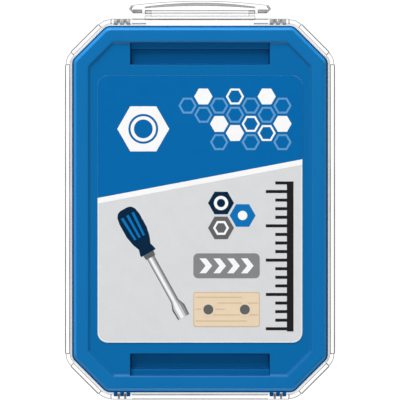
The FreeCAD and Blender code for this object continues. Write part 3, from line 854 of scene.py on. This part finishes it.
def loose_screws(node):
    """Where each screw of the solid pile has its head's top, and the way from there to its point."""
    work = bmesh.new()
    work.from_mesh(node.data)
    bmesh.ops.remove_doubles(work, verts=work.verts, dist=WELD * MM)
    seen = set()
    places = []
    for first in work.verts:
        if first in seen:
            continue
        group = [first]
        seen.add(first)
        for vertex in group:
            for edge in vertex.link_edges:
                other = edge.other_vert(vertex)
                if other not in seen:
                    seen.add(other)
                    group.append(other)
        points = [vertex.co for vertex in group]
        middle = sum(points, Vector()) / len(points)
        tip = max(points, key=lambda point: (point - middle).length)
        rim = sorted(points, key=lambda point: -(point - tip).length)[:SOLID_HEAD_SIDES]
        head = sum(rim, Vector()) / len(rim)
        places.append((head.copy(), (tip - head).normalized()))
    work.free()
    return places


def screw_pile_tree(material):
    """Geometry Nodes that set one screw on every point, turned to its heading and rolled at random."""
    tree = bpy.data.node_groups.new("screw_pile", "GeometryNodeTree")
    for name, kind in (("Points", "NodeSocketGeometry"), ("Screw", "NodeSocketObject"),
                       ("Roll seed", "NodeSocketInt"), ("Most roll", "NodeSocketFloat")):
        tree.interface.new_socket(name=name, in_out="INPUT", socket_type=kind)
    tree.interface.new_socket(name="Pile", in_out="OUTPUT", socket_type="NodeSocketGeometry")

    def node(kind, **settings):
        made = tree.nodes.new(kind)
        for key, value in settings.items():
            setattr(made, key, value)
        return made

    link = tree.links.new
    source = node("NodeGroupInput")
    heading = node("GeometryNodeInputNamedAttribute", data_type="FLOAT_VECTOR")
    heading.inputs["Name"].default_value = "heading"
    aimed = node("FunctionNodeAlignRotationToVector", axis="Z")
    link(heading.outputs["Attribute"], aimed.inputs["Vector"])
    roll = node("FunctionNodeRandomValue", data_type="FLOAT")
    link(source.outputs["Most roll"], roll.inputs[3])
    link(source.outputs["Roll seed"], roll.inputs["Seed"])
    about = node("FunctionNodeAxisAngleToRotation")
    about.inputs["Axis"].default_value = (0.0, 0.0, 1.0)
    link(roll.outputs[1], about.inputs["Angle"])
    turned = node("FunctionNodeRotateRotation", rotation_space="LOCAL")
    link(aimed.outputs["Rotation"], turned.inputs["Rotation"])
    link(about.outputs["Rotation"], turned.inputs["Rotate By"])
    shape = node("GeometryNodeObjectInfo")
    link(source.outputs["Screw"], shape.inputs["Object"])
    spread = node("GeometryNodeInstanceOnPoints")
    link(source.outputs["Points"], spread.inputs["Points"])
    link(shape.outputs["Geometry"], spread.inputs["Instance"])
    link(turned.outputs["Rotation"], spread.inputs["Rotation"])
    solid = node("GeometryNodeRealizeInstances")
    link(spread.outputs["Instances"], solid.inputs["Geometry"])
    painted = node("GeometryNodeSetMaterial")
    painted.inputs["Material"].default_value = material
    link(solid.outputs["Geometry"], painted.inputs["Geometry"])
    result = node("NodeGroupOutput")
    link(painted.outputs["Geometry"], result.inputs["Pile"])
    return tree


def screw_pile(node, material):
    """The loose screws, each with its thread and socket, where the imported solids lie."""
    places = loose_screws(node)
    points = bpy.data.meshes.new("screw_points")
    points.from_pydata([head for head, _ in places], [], [])
    heading = points.attributes.new("heading", "FLOAT_VECTOR", "POINT")
    for i, (_, direction) in enumerate(places):
        heading.data[i].vector = -direction
    pile = add_object("loose_screws", points)
    prototype = add_object("one_screw", screw_mesh())
    tree = screw_pile_tree(material)
    inputs = {item.name: item.identifier for item in tree.interface.items_tree if item.in_out == "INPUT"}
    spread = pile.modifiers.new("screw_pile", "NODES")
    spread.node_group = tree
    spread[inputs["Screw"]] = prototype
    spread[inputs["Roll seed"]] = 5
    spread[inputs["Most roll"]] = 2 * math.pi
    applied(pile)
    bpy.data.objects.remove(prototype)
    return pile


def box_shape(x0, y0, x1, y1, radius=0.0, steps=6):
    """Box square to the label, with round corners where there is a radius."""
    if not radius:
        return [(x0, y0), (x1, y0), (x1, y1), (x0, y1)]
    middles = ((x1 - radius, y1 - radius), (x0 + radius, y1 - radius),
               (x0 + radius, y0 + radius), (x1 - radius, y0 + radius))
    shape = []
    for corner, (middle_x, middle_y) in enumerate(middles):
        for step in range(steps + 1):
            angle = math.pi / 2 * (corner + step / steps)
            shape.append((middle_x + radius * math.cos(angle), middle_y + radius * math.sin(angle)))
    return shape


def disc_shape(x, y, radius, steps=ROUND_STEPS):
    """Circle."""
    turn = 2 * math.pi / steps
    return [(x + radius * math.cos(i * turn), y + radius * math.sin(i * turn)) for i in range(steps)]


def nut_shape(x, y, radius, steps=6):
    """Hexagon with a point to the right, cut into as many steps as a round hole in it has."""
    shape = []
    for i in range(steps):
        angle = 2 * math.pi * i / steps
        reach = radius * math.cos(math.pi / 6) / math.cos(angle % (math.pi / 3) - math.pi / 6)
        shape.append((x + reach * math.cos(angle), y + reach * math.sin(angle)))
    return shape


class LabelPrint:
    """Flat inks on the label, as thin closed slabs; each layer lies on the one below."""

    def __init__(self, surface):
        self.surface = surface
        self.inks = {}

    def lay(self, ink_name, layer, shape, hole=None, tone=1.0):
        """Print one outline, about the tray's middle, with a hole of as many points."""
        if ink_name not in self.inks:
            work = bmesh.new()
            work.faces.layers.float.new("tone")
            self.inks[ink_name] = work
        work = self.inks[ink_name]
        low = self.surface + (layer - 1) * INK_STEP - INK_STEP / 2
        high = self.surface + layer * INK_STEP
        loops = []
        for points in (shape, hole or ()):
            for z in (low, high):
                loops.append([work.verts.new(placed(x, y, z)) for x, y in points])
        bottom, top, hole_bottom, hole_top = loops
        made = add_band(work, bottom, top)
        if hole:
            made += add_band(work, hole_top, hole_bottom)
            made += add_band(work, top, hole_top)
            made += add_band(work, hole_bottom, bottom)
        else:
            made += [work.faces.new(top), work.faces.new(bottom[::-1])]
        shade = work.faces.layers.float["tone"]
        for face in made:
            face[shade] = tone
        bmesh.ops.recalc_face_normals(work, faces=made)

    def pieces(self, materials):
        """One object for each ink."""
        made = []
        for ink_name, work in self.inks.items():
            name = "print_" + ink_name
            made.append(add_object(name, mesh_from(work, name), materials[ink_name]))
        return made


def print_fields(sheet):
    """Blue field above, a slanting white stripe, and a pale border round the grey field below."""
    right = LABEL_HALF_X - 0.01
    top = LABEL_TOP_Y - 0.01
    corners = box_shape(-right, -top, right, top, LABEL_ROUND)
    upper = corners[:len(corners) // 2]
    sheet.lay("blue", 1, upper + [(-right, STRIPE_LEFT_Y), (right, STRIPE_RIGHT_Y)])
    left_end = STRIPE_LEFT_Y - STRIPE_WIDTH
    right_end = STRIPE_RIGHT_Y - STRIPE_WIDTH
    sheet.lay("white", 1, [(-right, STRIPE_LEFT_Y), (right, STRIPE_RIGHT_Y), (right, right_end),
                           (-right, left_end)])
    borders = []
    for inset in (0.0, 0.4):
        side = right - inset
        corners = box_shape(-side, inset - top, side, top, LABEL_ROUND - inset)
        borders.append([(-side, left_end), *corners[len(corners) // 2:], (side, right_end)])
    sheet.lay("pale_paper", 1, [*borders[0], *reversed(borders[1])])


def print_nut(sheet):
    """White nut with a washer round its bore."""
    x, y = -20.5, 29.0
    sheet.lay("white", 2, nut_shape(x, y, 9.4, ROUND_STEPS), disc_shape(x, y, 5.4))
    sheet.lay("white", 2, disc_shape(x, y, 4.6), disc_shape(x, y, 3.4))


def print_honeycomb(sheet):
    """Honeycomb of white cells, some of them solid, and pale blue outlines."""
    pitch = 6.6
    for column in range(7):
        for row in range(3):
            x = -4.5 + pitch * math.cos(math.pi / 6) * column
            y = 24.2 + pitch * (row + 0.5 * (column % 2))
            rank = column + row
            if rank % 4 == 3:
                sheet.lay("white", 2, nut_shape(x, y, 3.3))
            elif rank > 1:
                ink_name = "white" if rank % 2 else "pale_blue"
                sheet.lay(ink_name, 2, nut_shape(x, y, 3.3), nut_shape(x, y, 2.5))


def print_ruler(sheet):
    """Bold black ruler up the right-hand side."""
    sheet.lay("black", 1, box_shape(31.4, -44.2, 33.8, 10.0))
    for mark in range(18):
        y = -43.8 + 3.1 * mark
        reach = 7.6 if mark % 4 == 0 else 4.2
        sheet.lay("black", 1, box_shape(31.4 - reach, y, 31.4, y + 1.1))


def along_driver(along, across):
    """A point of the pictured screwdriver, from its grip's end towards its blade."""
    cos, sin = math.cos(DRIVER_LEAN), math.sin(DRIVER_LEAN)
    return DRIVER_X + along * cos - across * sin, DRIVER_Y + along * sin + across * cos


def lay_along(sheet, ink_name, layer, ends, tone=1.0):
    """Print an outline given along and across the screwdriver."""
    sheet.lay(ink_name, layer, [along_driver(*end) for end in ends], tone=tone)


def print_screwdriver(sheet):
    """Screwdriver with a dark fluted grip, and a shaft and blade shaded in strips of grey."""
    grip = ((0.0, 1.6), (0.5, 2.8), (1.8, 3.7), (4.0, 4.1), (9.5, 4.1), (13.0, 3.4), (15.5, 2.4), (17.5, 3.0),
            (18.2, 3.0))
    lay_along(sheet, "navy", 1, [*grip, *((along, -half) for along, half in reversed(grip))])
    for across in (-2.2, 0.0, 2.2):
        lay_along(sheet, "mid_blue", 2, ((2.6, across - 0.5), (2.6, across + 0.5), (11.8, across * 0.8 + 0.4),
                                         (11.8, across * 0.8 - 0.4)))
    lay_along(sheet, "slate", 2, ((18.2, -2.1), (18.2, 2.1), (20.0, 1.9), (20.0, -1.9)))
    shades = ((-1.0, 0.1), (-0.8, 0.55), (-0.5, 0.96), (0.05, 0.62), (0.4, 0.3), (0.75, 0.16), (1.0, 0.0))
    stations = ((20.0, 1.45), (38.0, 1.45), (40.6, 2.5), (44.6, 2.3))
    for (near, near_half), (far, far_half) in zip(stations, stations[1:]):
        for (left, tone), (right, _) in zip(shades, shades[1:]):
            lay_along(sheet, "metal", 1, ((near, near_half * left), (near, near_half * right),
                                          (far, far_half * right), (far, far_half * left)), tone)


def print_nut_group(sheet):
    """Three coloured hexagons in a clump, with a washer, a dot and a hexagon in them."""
    upper, middle, lower = (7.6, 2.2), (15.4, -2.3), (7.6, -6.8)
    for ink_name, place in (("navy", upper), ("mid_blue", middle), ("slate", lower)):
        sheet.lay(ink_name, 1, nut_shape(*place, 4.7))
    sheet.lay("white", 2, disc_shape(*upper, 2.6, 24), disc_shape(*upper, 1.5, 24))
    sheet.lay("white", 2, disc_shape(*middle, 1.7, 24))
    sheet.lay("white", 2, nut_shape(*lower, 2.9), nut_shape(*lower, 2.0))


def print_chevrons(sheet):
    """Grey bar with four white chevrons."""
    sheet.lay("box_grey", 1, box_shape(-2.4, -25.0, 21.6, -16.0, 1.7))
    for place in range(4):
        x = 5.0 * place - 0.2
        sheet.lay("white", 2, [(x, -23.2), (x + 2.4, -23.2), (x + 4.6, -20.5), (x + 2.4, -17.8),
                               (x, -17.8), (x + 2.2, -20.5)])


def print_plank(sheet):
    """Plank with its grain and two bored holes."""
    sheet.lay("grain", 1, box_shape(-2.4, -42.6, 21.6, -30.0, 0.9))
    sheet.lay("wood", 2, box_shape(-2.1, -42.3, 21.3, -30.3, 0.6))
    for y, left, right in ((-32.0, -1.6, 15.0), (-34.1, 6.4, 21.0), (-36.3, -1.6, 9.0), (-38.4, 4.0, 21.0),
                           (-40.6, -1.6, 17.0)):
        sheet.lay("grain", 3, box_shape(left, y, right, y + 0.3))
    for x, y in ((3.0, -36.3), (16.2, -36.3)):
        sheet.lay("wood", 4, disc_shape(x, y, 2.6, 24))
        sheet.lay("slate", 5, disc_shape(x, y, 1.8, 24))


def light_room(world):
    """Even room light, dim overhead and brighter low down; the camera sees plain white."""
    nodes = Nodes(world)
    place = nodes.node("ShaderNodeTexCoord", {}, {}, "Generated")
    height = nodes.node("ShaderNodeSeparateXYZ", {}, {0: place}, "Z")
    level = ROOM_LEVEL - height.maths("MAXIMUM", height, 0.0) * OVERHEAD_DIMMING
    seen = nodes.node("ShaderNodeLightPath", {}, {}, "Is Camera Ray")
    background = nodes.node("ShaderNodeBackground", {}, {
        "Color": (1.0, 1.0, 1.0, 1.0), "Strength": level.maths("MAXIMUM", level, seen)})
    nodes.show("ShaderNodeOutputWorld", background)


def add_stage():
    """Floor, lamps and the world's even light."""
    floor = bpy.data.meshes.new("floor")
    corners = [(x * FLOOR_HALF, y * FLOOR_HALF, 0) for x, y in ((-1, -1), (1, -1), (1, 1), (-1, 1))]
    floor.from_pydata(corners, [], [(0, 1, 2, 3)])
    add_object("floor", floor, backdrop_white())
    world = bpy.context.scene.world or bpy.data.worlds.new("studio")
    bpy.context.scene.world = world
    light_room(world)
    for name, place, size, power in LAMPS:
        lamp = bpy.data.lights.new(name, "AREA")
        lamp.size = size
        lamp.energy = power
        holder = bpy.data.objects.new(name, lamp)
        holder.location = place
        holder.rotation_mode = "QUATERNION"
        holder.rotation_quaternion = Vector(place).to_track_quat("Z", "Y")
        bpy.context.scene.collection.objects.link(holder)


def add_camera():
    """Long lens straight above, framed as the photograph is."""
    lens = bpy.data.cameras.new("photo_camera")
    camera = bpy.data.objects.new("photo_camera", lens)
    bpy.context.scene.collection.objects.link(camera)
    middle_y = (TRAY_ROW - VIEW_PIXELS / 2) * PIXEL + FRAME_SHIFT_Y
    camera.location = (0.0, middle_y * MM, LID_TOP * MM + CAMERA_DISTANCE)
    lens.sensor_width = SENSOR_WIDTH
    lens.lens = SENSOR_WIDTH * CAMERA_DISTANCE / (VIEW_PIXELS * PIXEL * MM)
    lens.clip_end = CAMERA_DISTANCE * 4
    bpy.context.scene.camera = camera


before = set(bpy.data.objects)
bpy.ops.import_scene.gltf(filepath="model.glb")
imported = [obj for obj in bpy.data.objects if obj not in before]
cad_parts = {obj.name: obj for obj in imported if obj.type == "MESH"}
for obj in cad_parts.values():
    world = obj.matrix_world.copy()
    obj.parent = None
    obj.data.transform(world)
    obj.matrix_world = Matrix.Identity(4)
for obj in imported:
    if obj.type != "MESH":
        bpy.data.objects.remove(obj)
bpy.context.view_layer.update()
bpy.context.scene.view_settings.view_transform = "Standard"
add_camera()
add_stage()

# Each clear material is painted darker towards grazing as shade; the edge one's dark grey is painted shade
# along edges and jogs
CLEAR_MATERIALS = [
    clear_plastic("clear_moulding", 0.02, 0.55, (0.9, 0.91, 0.92, 1.0), (0.4, 0.41, 0.42, 1.0)),
    clear_plastic("clear_edge_shade", 0.86, 0.92, (0.12, 0.115, 0.11, 1.0), (0.1, 0.1, 0.1, 1.0)),
    clear_plastic("clear_seat", 0.2, 0.5, (0.5, 0.51, 0.52, 1.0), (0.4, 0.4, 0.4, 1.0)),
    clear_plastic("clear_thick", 0.68, 0.85, (0.43, 0.43, 0.43, 1.0), (0.33, 0.33, 0.33, 1.0)),
    clear_plastic("clear_rib", 0.55, 0.8, (0.46, 0.46, 0.46, 1.0), (0.34, 0.34, 0.34, 1.0))]
BLUE = blue_plastic()
FILM = ink("label_grey", LABEL_GREY)
ZINC = zinc()

lid = lid_moulding(BLUE)
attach(lid, "lid")
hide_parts("lid")
for node_name, moulding in (("tray", tray_moulding()), ("latch", latch_moulding())):
    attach(moulding, node_name)
    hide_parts(node_name)
screws = screw_pile(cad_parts["screws"], ZINC)
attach(screws, "tray")
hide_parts("screws")
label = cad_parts["label"]
label.data.materials.clear()
label.data.materials.append(FILM)
sheet = LabelPrint(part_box("label")[1].z / MM)
for draw in (print_fields, print_nut, print_honeycomb, print_ruler, print_screwdriver, print_nut_group,
             print_chevrons, print_plank):
    draw(sheet)
inks = {name: ink(name, colour) for name, colour in INK_COLOURS.items()}
inks["metal"] = metal_ink()
for printed in sheet.pieces(inks):
    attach(printed, "lid")
